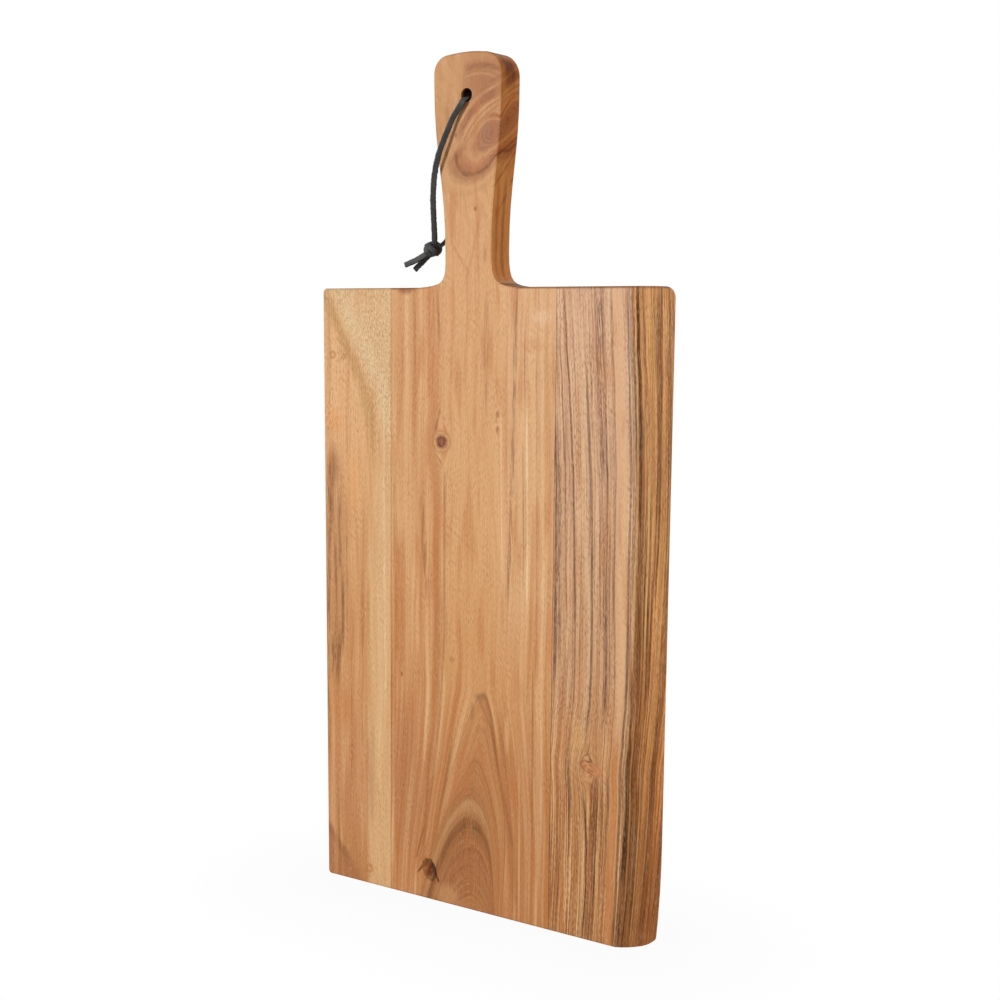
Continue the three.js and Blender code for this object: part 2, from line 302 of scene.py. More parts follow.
# Where a mix node keeps its two colours and the mixed one.
MIX_UNDER = 6
MIX_OVER = 7
MIX_RESULT = 2


def paint_over(under, over, mask):
    """One colour laid over another where the mask is 1."""
    under, over = [tone(colour) if isinstance(colour, str) else colour for colour in (under, over)]
    node = mask.tree.nodes.new("ShaderNodeMix")
    node.data_type = "RGBA"
    join(mask.tree, mask, node.inputs["Factor"])
    join(mask.tree, under, node.inputs[MIX_UNDER])
    join(mask.tree, over, node.inputs[MIX_OVER])
    return Field(mask.tree, node.outputs[MIX_RESULT])


def surface_millimetres(tree):
    """Where a point of the surface is in the object's own frame, in millimetres."""
    coordinates = tree.nodes.new("ShaderNodeTexCoord")
    split = tree.nodes.new("ShaderNodeSeparateXYZ")
    tree.links.new(coordinates.outputs["Object"], split.inputs["Vector"])
    return [Field(tree, split.outputs[axis]) * 1000 for axis in ("X", "Y", "Z")]


def new_material(name):
    material = bpy.data.materials.new(name)
    material.use_nodes = True
    return material, material.node_tree, material.node_tree.nodes["Principled BSDF"]


def raise_surface(tree, shader, height, distance, strength):
    """Small relief from a height field."""
    bump = tree.nodes.new("ShaderNodeBump")
    bump.inputs["Distance"].default_value = distance
    bump.inputs["Strength"].default_value = strength
    join(tree, height, bump.inputs["Height"])
    tree.links.new(bump.outputs["Normal"], shader.inputs["Normal"])


leather, leather_tree, leather_shader = new_material("black_leather")
lace_x, lace_y, lace_z = surface_millimetres(leather_tree)
hide_grain = clouds(lace_x / 0.55, lace_y / 0.55, lace_z / 0.55, detail=2)
hide_patches = clouds(lace_x / 3.5, lace_y / 3.5, lace_z / 5)
hide_colour = paint_over("#1a1918", "#32312f", rise(hide_grain, 0.35, 0.7))
hide_colour = paint_over(hide_colour, "#403f3c", rise(hide_patches, 0.5, 0.75) * 0.5)
join(leather_tree, hide_colour, leather_shader.inputs["Base Color"])
join(leather_tree, 0.5 + hide_grain * 0.3, leather_shader.inputs["Roughness"])
raise_surface(leather_tree, leather_shader, hide_grain, 0.0004, 0.6)

for piece in [lace_front, lace_back, long_tail, short_tail] + knot_pieces:
    piece.data.materials.append(leather)
    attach(piece, "loop")
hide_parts("lace_front", "lace_bight")
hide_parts("lace_back")
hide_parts("lace_tail_long")
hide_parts("lace_tail_short")
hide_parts("lace_knot")


def route_length(route):
    return sum((there - here).length for here, there in zip(route, route[1:])) * MM


route_length(front_route)
[p * MM for p in front_route]
knot_pieces + [long_tail, short_tail]
route_length(back_route)
[p * MM for p in back_route]


# Studio
# A white sweep of floor in pale surroundings, with a strong soft light on the left and faint ones above
# and on the right. Each light has its name, place, width and power.
FLOOR_HALF = 12
FLOOR_DROP = 0.0002
SHADE_HALF = 90
SHADE_REACH = 150
WHITE = (1, 1, 1, 1)
LAMPS_AIM = Vector((0, 0, 0.3))
LAMPS = (
    ("left_light", (-2.7, -3.5, 1.1), 0.6, 158),
    ("upper_light", (0.1, -1.5, 1.7), 1.6, 2.5),
    ("right_light", (1.5, -0.1, 0.7), 0.8, 14),
)
SURROUNDINGS = 0.33


def root(value):
    return calc(value.tree, "SQRT", value)


def size_of(value):
    return calc(value.tree, "ABSOLUTE", value)


def at_least(value, low):
    return calc(value.tree, "MAXIMUM", value, low)


def at_most(value, high):
    return calc(value.tree, "MINIMUM", value, high)


def rays_of(tree, *kinds):
    """Counts which of these kinds the ray that meets the surface is."""
    path = tree.nodes.new("ShaderNodeLightPath")
    counted = [Field(tree, path.outputs[f"Is {kind} Ray"]) for kind in kinds]
    return sum(counted[1:], counted[0])


floor_mesh = bmesh.new()
bmesh.ops.create_grid(floor_mesh, x_segments=1, y_segments=1, size=FLOOR_HALF)
bmesh.ops.translate(floor_mesh, vec=(0, 0, -FLOOR_DROP), verts=floor_mesh.verts)
floor_data = bpy.data.meshes.new("floor")
floor_mesh.to_mesh(floor_data)
floor_mesh.free()
floor = bpy.data.objects.new("floor", floor_data)
scene.collection.objects.link(floor)

floor_material, floor_tree, floor_shader = new_material("white_sweep")
floor_shader.inputs["Base Color"].default_value = (0.4, 0.4, 0.4, 1)
floor_shader.inputs["Roughness"].default_value = 0.9
floor_shader.inputs["Specular IOR Level"].default_value = 0.1
seen_rays = rays_of(floor_tree, "Camera", "Glossy")
floor_x, floor_y, _ = surface_millimetres(floor_tree)
beside_x = at_least(size_of(floor_x) - SHADE_HALF, 0)
far_off = rise(root(beside_x * beside_x + floor_y * floor_y), 0, SHADE_REACH)
glow = floor_tree.nodes.new("ShaderNodeEmission")
glow.inputs["Color"].default_value = WHITE
mixed = floor_tree.nodes.new("ShaderNodeMixShader")
join(floor_tree, seen_rays * (0.95 + far_off * 0.05), mixed.inputs["Fac"])
floor_tree.links.new(floor_shader.outputs["BSDF"], mixed.inputs[1])
floor_tree.links.new(glow.outputs["Emission"], mixed.inputs[2])
floor_tree.links.new(mixed.outputs["Shader"], floor_tree.nodes["Material Output"].inputs["Surface"])
floor.data.materials.append(floor_material)

for light_name, light_place, light_size, light_power in LAMPS:
    light_data = bpy.data.lights.new(light_name, "AREA")
    light_data.size = light_size
    light_data.energy = light_power
    light = bpy.data.objects.new(light_name, light_data)
    light.location = light_place
    light.rotation_euler = (LAMPS_AIM - light.location).to_track_quat("-Z", "Y").to_euler()
    scene.collection.objects.link(light)

world = bpy.data.worlds.new("surroundings")
scene.world = world
world.use_nodes = True
backdrop = world.node_tree.nodes["Background"]
backdrop.inputs["Color"].default_value = WHITE
seen = at_most(rays_of(world.node_tree, "Camera", "Glossy", "Transmission"), 1)
join(world.node_tree, SURROUNDINGS + seen * (1 - SURROUNDINGS), backdrop.inputs["Strength"])


# Left stave
# A narrow board with a wedge of pale sapwood at the upper right that runs on down beside the joint,
# and browner wood with dark flecks at the outer edge. Its inner edge is glued to the centre stave.
# Fields start with s_ here, c_ on the centre stave, h_ in its handle, w_ round the branch, r_ on the right.
FRONT_FACE = -9.25
BODY_TOP = 368
BOARD_LENGTH = 500
SHEEN = 0.02


def new_group(name, inputs, outputs):
    """A shader node group of numbers and colours: its inputs as fields, and the node for its results."""
    group = bpy.data.node_groups.new(name, "ShaderNodeTree")
    for way, socket_names in (("INPUT", inputs), ("OUTPUT", outputs)):
        for socket_name in socket_names:
            kind = "NodeSocketColor" if socket_name.endswith("colour") else "NodeSocketFloat"
            group.interface.new_socket(name=socket_name, in_out=way, socket_type=kind)
    source = group.nodes.new("NodeGroupInput")
    return group, [Field(group, source.outputs[n]) for n in inputs], group.nodes.new("NodeGroupOutput")


def use_group(tree, group, *values):
    node = tree.nodes.new("ShaderNodeGroup")
    node.node_tree = group
    for value, socket in zip(values, node.inputs):
        join(tree, value, socket)
    return [Field(tree, socket) for socket in node.outputs]


def ramp(value, stops):
    """Colours or heights read off a row of stops."""
    node = value.tree.nodes.new("ShaderNodeValToRGB")
    node.color_ramp.interpolation = "EASE"
    join(value.tree, value, node.inputs["Fac"])
    marks = node.color_ramp.elements
    while len(marks) < len(stops):
        marks.new(0.5)
    for mark, (place, shade) in zip(marks, stops):
        mark.position = place
        mark.color = tone(shade) if isinstance(shade, str) else (shade, shade, shade, 1)
    return Field(value.tree, node.outputs["Color"])


class Coat:
    """A wood's colour, painted up layer by layer."""

    def __init__(self, colour):
        self.colour = colour

    def paint(self, shade, mask):
        """Lays a shade over the colour where the mask is 1."""
        self.colour = paint_over(self.colour, shade, mask)

    def lay_painted_shade(self, shade, mask):
        """Painted shade: darkens the colour by a tint where the mask is 1, so the figure below still shows.
        """
        self.paint(shade, mask)
        self.colour.socket.node.blend_type = "MULTIPLY"

    def streaks(self, across, along, rough, rows, fade=12):
        """Place, half width, both ends, strength, brokenness and shade of each, with any lean and bow."""
        for place, half, low, high, strength, broken, shade, *bent in rows:
            lean, bow = (bent + [0, 0])[:2]
            mask, = use_group(across.tree, streak, across, along, place, half, low, high, lean, bow, fade)
            if broken:
                mask = mask * (1 - broken + rough * broken)
            self.paint(shade, mask * strength)

    def patches(self, across, along, rows):
        """Place, height, half width, half height, strength and shade of each oval."""
        for place, height, half, tall, strength, shade in rows:
            mask, = use_group(across.tree, patch, across, along, place, height, half, tall)
            self.paint(shade, mask * strength)


# A streak is one dark or pale stripe along the grain between two heights, on a leaning, bowed path.
streak, sk_given, sk_end = new_group(
    "streak",
    ("Across", "Along", "Place", "Half width", "Low end", "High end", "Lean", "Bow", "Fade"),
    ("Mask",))
sk_across, sk_along, sk_place, sk_half, sk_low, sk_high, sk_lean, sk_bow, sk_fade = sk_given
sk_up = sk_along - (sk_low + sk_high) * 0.5
sk_off = size_of(sk_across - sk_place - sk_up * sk_lean - sk_up * sk_up * sk_bow)
sk_body = rise(sk_off, sk_half * 0.92, sk_half * 0.3)
sk_body = sk_body * rise(sk_along, sk_low - sk_fade, sk_low + sk_fade)
sk_body = sk_body * rise(sk_along, sk_high + sk_fade, sk_high - sk_fade)
join(streak, sk_body, sk_end.inputs["Mask"])

# A patch is an oval of other colour with a soft rim.
patch, (pt_across, pt_along, pt_place, pt_height, pt_half, pt_rise), pt_end = new_group(
    "patch", ("Across", "Along", "Place", "Height", "Half width", "Half height"), ("Mask",))
pt_side = (pt_across - pt_place) / pt_half
pt_up = (pt_along - pt_height) / pt_rise
join(patch, rise(root(pt_side * pt_side + pt_up * pt_up), 1.15, 0.3), pt_end.inputs["Mask"])

# A knot pushes the growth lines aside; its distance is 1 at its rim.
knot_figure, (kf_across, kf_along, kf_place, kf_height, kf_radius, kf_stretch), kf_end = new_group(
    "knot_figure", ("Across", "Along", "Place", "Height", "Radius", "Stretch"), ("Bend", "Distance"))
kf_side = kf_across - kf_place
kf_up = kf_along - kf_height
kf_long = kf_up / kf_stretch
kf_square = kf_side * kf_side + kf_long * kf_long
kf_rim = kf_radius * kf_radius
join(knot_figure, (kf_side * -1) * kf_rim / at_least(kf_square, kf_rim), kf_end.inputs["Bend"])
join(knot_figure, root(kf_side * kf_side + kf_up * kf_up) / kf_radius, kf_end.inputs["Distance"])

# Ends are cut across the fibres, so they drink more oil and look darker; long edges get painted shade.
cut_ends_and_side_shade, _, cf_end = new_group("cut_ends_and_side_shade", (), ("End", "Side"))
cf_place = cut_ends_and_side_shade.nodes.new("ShaderNodeTexCoord")
cf_split = cut_ends_and_side_shade.nodes.new("ShaderNodeSeparateXYZ")
cut_ends_and_side_shade.links.new(cf_place.outputs["Normal"], cf_split.inputs["Vector"])
cf_across = size_of(Field(cut_ends_and_side_shade, cf_split.outputs["X"]))
cf_upward = size_of(Field(cut_ends_and_side_shade, cf_split.outputs["Z"]))
join(cut_ends_and_side_shade, rise(cf_upward, 0.25, 0.7) * rise(cf_across, 0.7, 0.3), cf_end.inputs["End"])
join(cut_ends_and_side_shade, rise(cf_across, 0.3, 0.9), cf_end.inputs["Side"])

# Oiled wood over a stave's figure: long fibres, short dark pores in drifts, redder and paler drifts,
# the darker cut ends, painted shade on the long edges, and the white of the sheen taken off so that
# the tones come out as written.
oiled_wood, ow_given, ow_end = new_group(
    "oiled_wood",
    ("Figure colour", "Dark colour", "Light colour", "Red colour", "End colour", "Side shade colour",
     "Across", "Depth", "Along", "Side shade share", "Coarseness"),
    ("Wood colour", "Roughness", "Height"))
ow_colour, ow_dark, ow_light, ow_red, ow_ends, ow_side_shade_colour = ow_given[:6]
ow_across, ow_depth, ow_along, ow_side_shade_share, ow_coarse = ow_given[6:]
oiled = Coat(ow_colour)
ow_wave = clouds(ow_across / 2.5, ow_depth / 2.5, ow_along / 6, detail=0) - 0.5
ow_bent = ow_across + ow_wave * 0.35
ow_fibre = clouds(ow_bent / 0.8, ow_depth / 0.8, ow_along / 38)
ow_pore = clouds(ow_bent / 0.6, ow_depth / 0.6, (ow_along + ow_across * 0.8) / 2.6, detail=0)
ow_drift = clouds(ow_across / 8, ow_depth / 9, ow_along / 24)
ow_warm = clouds(ow_across / 6 + 40, ow_depth / 9, ow_along / 50)
ow_porous = ow_coarse * (0.55 + rise(ow_drift, 0.4, 0.65) * 0.5)
oiled.paint(ow_red, rise(ow_warm, 0.5, 0.7) * 0.4)
oiled.paint(ow_dark, rise(ow_fibre, 0.52, 0.68) * ow_coarse * 0.2)
oiled.paint(ow_light, rise(ow_fibre, 0.48, 0.3) * ow_coarse * 0.15)
oiled.paint(ow_dark, rise(ow_pore, 0.5, 0.7) * ow_porous * 0.4)
oiled.paint(ow_light, rise(ow_pore, 0.5, 0.3) * ow_porous * 0.16)
ow_cut_end, ow_side_shade = use_group(oiled_wood, cut_ends_and_side_shade)
# Painted shade: the faces turned sideways are darkened.
oiled.lay_painted_shade(ow_side_shade_colour, ow_side_shade * ow_side_shade_share)
oiled.paint(ow_ends, ow_cut_end * 0.85)
ow_oiled = oiled_wood.nodes.new("ShaderNodeVectorMath")
ow_oiled.operation = "SUBTRACT"
join(oiled_wood, oiled.colour, ow_oiled.inputs[0])
ow_oiled.inputs[1].default_value = (SHEEN, SHEEN, SHEEN)
join(oiled_wood, Field(oiled_wood, ow_oiled.outputs["Vector"]), ow_end.inputs["Wood colour"])
join(oiled_wood, 0.44 + ow_pore * 0.2, ow_end.inputs["Roughness"])
join(oiled_wood, ow_pore * ow_porous * -0.6 - ow_fibre * 0.4, ow_end.inputs["Height"])


def finish_wood(tree, shader, colour, shades, across, depth, along, side_shade_share, coarse):
    """Lays oiled wood over a figure. Shades: dark, light, red, cut ends, and painted shade on long edges.
    """
    shades = [tone(shade) for shade in shades]
    painted, rough, height = use_group(
        tree, oiled_wood, colour, *shades, across, depth, along, side_shade_share, coarse)
    join(tree, painted, shader.inputs["Base Color"])
    join(tree, rough, shader.inputs["Roughness"])
    shader.inputs["Specular IOR Level"].default_value = 0.16
    raise_surface(tree, shader, height, 0.0001, 0.2)


sapwood, sap_tree, sap_shader = new_material("sapwood_stave")
sx, sy, sz = surface_millimetres(sap_tree)
s_depth = sy - FRONT_FACE
s_wander = clouds(sx / 40, s_depth / 40, sz / 110, detail=0) * 9
s_across = sx + s_wander + s_depth * 0.5
s_streaky = clouds(s_across, s_depth / 4, sz / 15, detail=2)
s_broken = rise(s_streaky, 0.4, 0.6)

sap = Coat(ramp(sz / BODY_TOP, (
    (0, "#b67d50"), (0.18, "#c0855a"), (0.4, "#ca9160"), (0.62, "#d39f6d"), (0.8, "#dba877"),
    (1, "#d6a877"),
)))
s_bands = clouds(s_across / 5, s_depth / 10, sz / 120)
sap.paint("#b67b4e", rise(s_bands, 0.5, 0.72) * 0.55)
sap.paint("#e0b483", rise(s_bands, 0.5, 0.3) * 0.4)
WEDGE_START = 277
WEDGE_CURVE = 45
s_rise = at_least(sz - WEDGE_START, 0)
s_curve = at_most(s_rise, WEDGE_CURVE)
s_edge = rise(sz, 215, 275) * 9 - 83 - s_curve * s_curve * 0.0063 - (s_rise - s_curve) * 0.57
s_ragged = clouds(sx / 4, s_depth / 6, sz / 30) * 7 - 3.5
s_past = sx + s_depth * 0.6 + s_ragged - s_edge
s_high = rise(sz, 250, 300)
sap.paint("#b0834f", rise(size_of(s_past + 5), 7, 1) * s_high * 0.6)
s_pale_shade = paint_over("#d8ad7d", "#d5b083", s_high)
sap.paint(s_pale_shade, rise(s_past, -2.5, 3.5) * 0.85)
sap.paint("#dfc49c", rise(size_of(s_past - 9), 8, 1) * s_high * 0.3)
s_wedge = rise(s_past, 0, 6) * s_high
s_curl = clouds((sx + sz * 0.45) / 0.9, s_depth / 2, sz / 1.7)
sap.paint("#a87c4c", rise(s_curl, 0.5, 0.68) * s_wedge * 0.4)
sap.paint("#ecd2aa", rise(s_curl, 0.5, 0.32) * s_wedge * 0.35)
LEFT_PATCHES = (
    (-108.5, 288, 8, 9, 0.6, "#dd9a5e"), (-93, 250, 6, 24, 0.5, "#dd9f66"),
    (-105, 110, 11, 22, 0.5, "#bd7b49"), (-84, 300, 8, 20, 0.4, "#c99d6a"),
    (-109, 205, 14, 85, 0.55, "#b07d54"), (-110, 260, 5.5, 14, 0.6, "#8d5a3c"),
)
s_frayed = s_streaky - 0.5
s_up = sz + s_frayed * 4
sap.patches(sx + s_frayed * 0.5, s_up, LEFT_PATCHES)
LEFT_STREAKS = (
    (-111, 2.6, 228, 268, 0.8, 0.6, "#70402a", 0.02), (-105.5, 2.2, 200, 240, 0.75, 0.6, "#7a4c32"),
    (-103.5, 1.8, 148, 190, 0.85, 0.4, "#70442c"), (-106.5, 2.4, 128, 156, 0.8, 0.4, "#70442c", 0.06),
    (-114.5, 2.4, 150, 232, 0.75, 0.7, "#7d4d32", 0.03), (-109, 1.5, 165, 215, 0.7, 0.7, "#7d4d32"),
    (-100, 1.4, 160, 240, 0.5, 0.8, "#96623c"), (-96, 1.6, 60, 170, 0.45, 0.9, "#9a5f38"),
    (-115.5, 2.2, 80, 150, 0.6, 0.8, "#85532f"), (-88, 1.4, 50, 190, 0.45, 0.9, "#9a5f38"),
    (-80, 2.2, 42, 100, 0.55, 0.4, "#a48766", 0.02), (-70, 1.5, 120, 300, 0.6, 0.5, "#e6c79d"),
    (-74, 3, 60, 190, 0.5, 0.3, "#e0b98a"), (-107, 1.5, 8, 60, 0.45, 0.6, "#8d5b38"),
    (-110.5, 4.2, 130, 158, 0.7, 0.85, "#6d4029", 0.05), (-112.5, 3.6, 234, 260, 0.75, 0.8, "#6d3d28"),
)
sap.streaks(sx - s_depth * 0.4 + s_wander * 0.3 - 1.4, s_up, s_broken, LEFT_STREAKS)
s_foot = sz - 30 + (sx + 116) * 1.05 + s_ragged
sap.paint("#a36b48", rise(s_foot, 7, -5) * 0.75)
s_foot_edge = rise(size_of(s_foot), 6, 1) * rise(sx, -94, -104)
sap.paint("#875637", s_foot_edge * 0.6)
for knot_x, knot_z, knot_r in ((-109.6, 328.5, 2.6), (-101, 327.5, 2), (-83, 10, 3)):
    _, away = use_group(sap_tree, knot_figure, sx - s_depth * 0.3, sz, knot_x, knot_z, knot_r, 1)
    s_knot = rise(away, 1.2, 0.8) * rise(away, 0.2, 0.6)
    sap.paint("#a3703f", s_knot * 0.6)
    sap.paint("#cf8f52", rise(away, 0.7, 0.2) * 0.5)
SAP_SHADES = ("#96603a", "#efd0a4", "#cb9160", "#6f411f", "#e3cdbd")
s_coarse = 0.65 + s_high * 0.35
finish_wood(sap_tree, sap_shader, sap.colour, SAP_SHADES, s_across, s_depth, sz, 0.6, s_coarse)
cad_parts["left_stave"].material_slots[0].material = sapwood


# Centre stave
# The widest board, flat-sawn from near the heart: a flame of nested arches at its foot, a live knot and
# a dead one, straight lines above, and a swirl round a branch in the handle, which is part of it.
heartwood, heart_tree, heart_shader = new_material("heartwood_stave")
cx, cy, cz = surface_millimetres(heart_tree)
c_depth = cy - FRONT_FACE
c_wander = clouds(cx / 35, c_depth / 40, cz / 130, detail=0) * 6 - 3
BODY_MIDDLE = 184
GRAIN_LEAN = 0.0073
c_across = cx - (cz - BODY_MIDDLE) * GRAIN_LEAN + c_depth * 0.4
CENTRE_KNOTS = ((-26.75, 279.3, 4), (-36.3, 19, 4.6), (13, 292, 2), (-19.5, 150.5, 2))
knot_reach = []
for knot_x, knot_z, knot_r in CENTRE_KNOTS:
    bend, away = use_group(
        heart_tree, knot_figure, cx - c_depth * 0.3, cz - c_depth * 0.2, knot_x, knot_z, knot_r, 2.6)
    c_across = c_across + bend * 1.5
    knot_reach.append(away)

ARCH_TOP = 133
ARCH_DRAW = 55
ARCH_HALF = 22.5
ARCH_SLANT = 3
c_axis = cx - (cz * 0.115 - 12)
c_round = 4 + rise(cz, 95, 55) * 6
c_off = root(c_axis * c_axis + c_round * c_round) - c_round
c_fall = at_least(ARCH_TOP - cz - c_depth * ARCH_SLANT, 0)
c_flare = (1 - calc(heart_tree, "EXPONENT", c_fall / -ARCH_DRAW)) * ARCH_HALF
c_push = calc(heart_tree, "EXPONENT", (c_flare - c_off) / 20) * c_flare
c_across = c_across - calc(heart_tree, "SIGN", c_axis) * at_most(c_push, 40)
c_lines = c_across + c_wander
c_streaky = clouds(c_lines / 1.2, c_depth / 4, cz / 18)
c_broken = rise(c_streaky, 0.4, 0.6)
c_frayed = c_streaky - 0.5
c_side = cx + c_frayed * 0.5
c_up = cz + c_frayed * 1.6

heart = Coat(ramp(cz / BOARD_LENGTH, (
    (0, "#b67d50"), (0.14, "#bd8354"), (0.3, "#cd9663"), (0.45, "#d4a16e"), (0.72, "#d4a070"),
    (1, "#cf9f70"),
)))
c_warm = rise(c_across, -18, -34)
heart.paint("#cb9263", c_warm * 0.5)
heart.paint("#ddaf84", rise(c_across, 8, 22) * rise(cz, 120, 210) * 0.6)
c_bands = clouds(c_lines / 5.5, c_depth / 14, cz / 170)
c_fine = clouds(c_lines / 1.7, c_depth / 7, cz / 160)
c_calm = rise(size_of(c_across + 6), 20, 10)
c_lively = 1 - c_calm * rise(cz, 110, 160) * 0.75 + rise(cz, 190, 90) * 0.8
c_lively = c_lively + rise(cx, -22, -40) * 0.3
heart.paint("#b67646", rise(c_bands, 0.5, 0.72) * c_lively * 0.42)
heart.paint("#e2b484", rise(c_bands, 0.5, 0.3) * c_lively * 0.34)
heart.paint("#a96c41", rise(c_fine, 0.52, 0.75) * c_lively * 0.18)
heart.paint("#e6bd92", rise(c_fine, 0.48, 0.28) * c_lively * 0.12)
CENTRE_STREAKS = (
    (-34.5, 4.5, 300, 372, 0.6, 0.5, "#b46c3a"), (-29.5, 1.4, 342, 366, 0.6, 0.4, "#7a4a2c", -0.06),
    (-46.4, 1.2, 316, 366, 0.4, 0.6, "#905a36"), (5, 2.8, 296, 366, 0.45, 0.85, "#905f42"),
    (24.4, 2.2, 192, 368, 0.6, 0.8, "#80553c", 0.031, -0.00022), (33.5, 1.1, 190, 300, 0.6, 0, "#f2d3aa"),
    (31, 0.8, 200, 278, 0.5, 0.3, "#86583a"), (32, 0.7, 306, 344, 0.5, 0.2, "#8d5e3e"),
    (-24.5, 1.3, 184, 258, 0.45, 0.3, "#86603f"),
    (-27.5, 1.3, 66, 186, 0.5, 0.4, "#865838", 0.095, -0.0008),
    (-39.5, 3.2, 186, 246, 0.6, 0.85, "#945c38", -0.08), (-30, 4.5, 186, 250, 0.6, 0.3, "#b97340"),
    (-33.5, 5.5, 15, 190, 0.6, 0.3, "#ab693c", 0.104, -0.0006), (-58.5, 6.5, 138, 222, 0.6, 0.3, "#b4713f"),
    (-46.5, 4.5, 150, 205, 0.6, 0.4, "#e0b483"), (29, 0.9, 4, 92, 0.7, 0, "#dba878"),
    (38, 1, 50, 152, 0.55, 0.3, "#7a4c2c"), (16, 0.9, 196, 296, 0.45, 0, "#ebc9a0"),
    (21.5, 4.5, 10, 118, 0.6, 0.3, "#a3663f", -0.09), (-62, 1.4, 20, 260, 0.4, 0.6, "#9c6036"),
    (44, 1.2, 60, 360, 0.3, 0.3, "#e8c29c"), (40, 1, 150, 330, 0.35, 0.6, "#96623c"),
    (-38.8, 1.6, 26, 98, 0.5, 0.3, "#8f5a38", 0.07), (-27.5, 1.8, 28, 98, 0.55, 0.2, "#85532f", 0.22),
)
heart.streaks(cx + c_wander * 0.4 + c_depth * 0.4, cz, c_broken, CENTRE_STREAKS)
heart.patches(cx, cz, (
    (-52, 70, 15, 62, 0.4, "#a86d4a"), (36, 70, 13, 62, 0.3, "#ac7048"),
    (20.3, 112, 2.4, 15, 0.6, "#dba878"), (-53, 367.5, 7, 3.6, 0.7, "#8d4a28"),
    # The pale oval at 43 across and 352 up is painted sheen: the satin shimmer of the wood there.
    (-57, 137, 1.2, 2.2, 0.7, "#a0552f"), (43, 352, 9, 5, 0.5, "#e8bf9c"),
    (36, 336, 11, 5, 0.35, "#c68a62"),
))

c_ripple = clouds(cx / 9, c_depth / 12, cz / 25) * 8 - 4
c_near = at_least(1 - c_off / ARCH_HALF, 0.03)
c_arch = cz + c_depth * ARCH_SLANT + c_ripple - calc(heart_tree, "LOGARITHM", c_near, math.e) * ARCH_DRAW
flame_colour = ramp(c_arch / ARCH_TOP, (
    (0, "#ae744a"), (0.5, "#ae744a"), (0.62, "#b0764b"), (0.78, "#b87d50"), (0.9, "#b67b4d"),
    (0.965, "#a86e45"), (1, "#86593a"),
))
c_flame = rise(c_arch, ARCH_TOP + 2.5, ARCH_TOP - 1.5)
c_flame_share = 0.3 + rise(c_axis, -6, 6) * 0.5
c_flame_share = at_least(c_flame_share, rise(c_arch, 115, 90) * 0.95)
heart.paint(flame_colour, c_flame * c_flame_share)
c_arcs = clouds(c_arch / 5, c_depth / 9, c_axis / 60)
heart.paint("#80502f", rise(c_arcs, 0.5, 0.72) * c_flame * c_flame_share * 0.35)
heart.paint("#cb9560", rise(c_arcs, 0.5, 0.28) * c_flame * c_flame_share * 0.3)
heart.patches(cx, cz, (
    (1, 130.5, 5, 3.4, 0.42, "#86654a"), (-4.4, 121, 1.8, 7, 0.42, "#86654a"),
))
# Inside the flame the arches are rounder: they fall off slowly to the left and steeply to the right.
c_inner_x = cx + 6.5
c_inner_left = at_least(c_inner_x * -1, 0)
c_inner_right = at_most(at_least(c_inner_x, 0) / 18, 0.999)
c_inner = cz + c_depth * ARCH_SLANT + c_ripple * 0.45 + c_inner_left * (c_inner_left * 0.047 + 0.25)
c_inner = c_inner - calc(heart_tree, "LOGARITHM", 1 - c_inner_right * c_inner_right, math.e) * 16
inner = Coat(ramp(c_inner / 80, (
    (0, "#ae774e"), (0.2, "#a77049"), (0.42, "#a26a45"), (0.47, "#946040"), (0.52, "#a87049"),
    (0.58, "#98653f"), (0.65, "#7c5033"), (0.7, "#8a5c3a"), (0.745, "#ad7c52"), (0.82, "#b98a5e"),
    (0.86, "#a5734a"), (0.9, "#ab7249"), (1, "#b1774c"),
)))
c_inside = rise(c_inner, 82, 70)
c_hoops = clouds(c_inner / 1.7, c_depth / 6, cx / 30)
inner.paint("#774a2e", rise(c_hoops, 0.5, 0.7) * 0.35)
inner.paint("#c4925f", rise(c_hoops, 0.5, 0.3) * 0.28)
heart.paint(inner.colour, c_inside * 0.92)
heart.patches(c_side, c_up, ((-23, 5, 11, 9, 0.65, "#c29264"),))
# The flame's right flank is drawn out in one dark line.
heart.streaks(c_side, c_up, c_broken, (
    (16.6, 1.6, 44, 116, 0.45, 0.3, "#7c4f33", -0.225), (4.6, 1.6, 114, 128, 0.3, 0.3, "#7c4f33", -0.5),
), fade=4)

k_rough = clouds(cx / 2.2, c_depth / 3, cz / 2.2) - 0.5
# The branch in the handle leans up and to the right as it goes back. Its inner rings are long ovals
# and its outer ones are drawn out to the lower left, so each place is told by its distance.
BRANCH_X = 8.65
BRANCH_Z = 454.4
BRANCH_RIGHT = 0.85
BRANCH_UP = 0.98
w_x = cx - c_depth * BRANCH_RIGHT - BRANCH_X
w_z = cz - c_depth * BRANCH_UP - BRANCH_Z
w_lean = w_x * 0.77 + w_z * 0.63
w_side = w_z * 0.77 - w_x * 0.63
w_reach = root(w_x * w_x + w_z * w_z + 0.2)
w_oval = root(w_lean * w_lean * 0.36 + w_side * w_side * 0.75 + 0.05)
w_ring = w_oval + (w_reach + w_lean * 0.675 - w_oval) * rise(w_reach, 2, 22)
w_ring = w_ring + clouds(cx / 5, c_depth / 5, cz / 5) * 1.4 - 0.7
swirl = Coat(ramp(w_ring / 16, (
    (0, "#7d5038"), (0.06, "#a06e50"), (0.2, "#a97555"), (0.36, "#b07c58"), (0.42, "#c99567"),
    (0.47, "#b87f55"), (0.53, "#aa6f49"), (0.6, "#a0673f"), (0.66, "#b07b53"), (0.73, "#bd8b60"),
    (0.8, "#cb996a"), (0.88, "#c49364"), (0.92, "#b78659"), (1, "#c99767"),
)))
w_lines = calc(heart_tree, "SINE", w_ring * 4.6 + clouds(cx / 3, c_depth / 5, cz / 3, detail=0) * 4)
